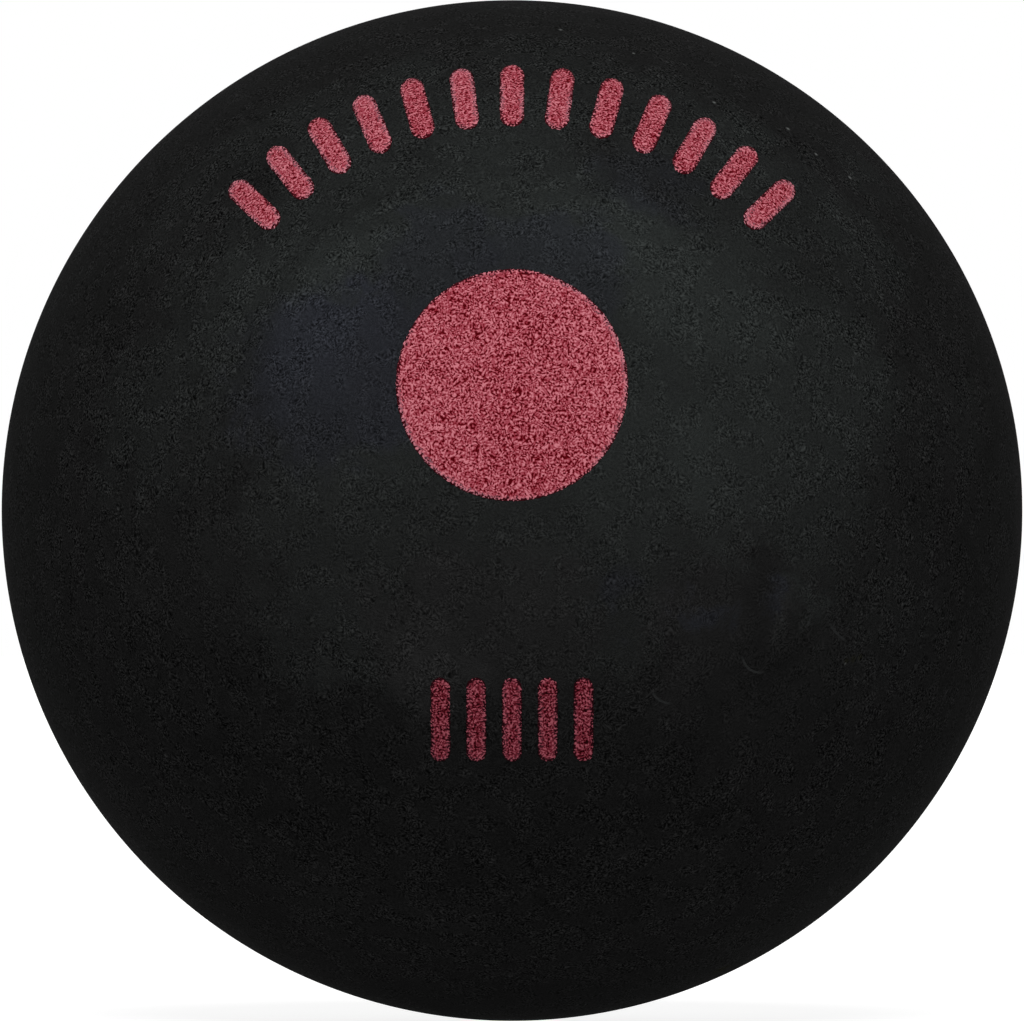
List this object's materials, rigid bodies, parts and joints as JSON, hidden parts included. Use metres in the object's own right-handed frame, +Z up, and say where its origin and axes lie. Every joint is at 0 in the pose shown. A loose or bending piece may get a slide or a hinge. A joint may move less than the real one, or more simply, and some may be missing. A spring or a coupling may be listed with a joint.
{
  "type": "squash ball",
  "caption": "Hollow black rubber ball for squash, half shells cemented rim to rim, with a printed red speed dot and plain bars.",
  "frame": {"origin": "centre of the ball", "axes": "+Z up, -Y out through the middle of the printed front half, +Y out through the bare rear half; the cemented seam lies in the XZ plane"},
  "size_m": [0.0424, 0.0424, 0.0424],
  "materials": {
    "rubber": "matte",
    "cement": "satin",
    "ink": "matte"
  },
  "bodies": {
    "root": {"front_half_shell": "rubber", "rear_half_shell": "rubber", "seam_cement": "cement", "speed_dot": "ink", "arched_bars": "ink", "lower_bars": "ink"}
  },
  "joints": []
}
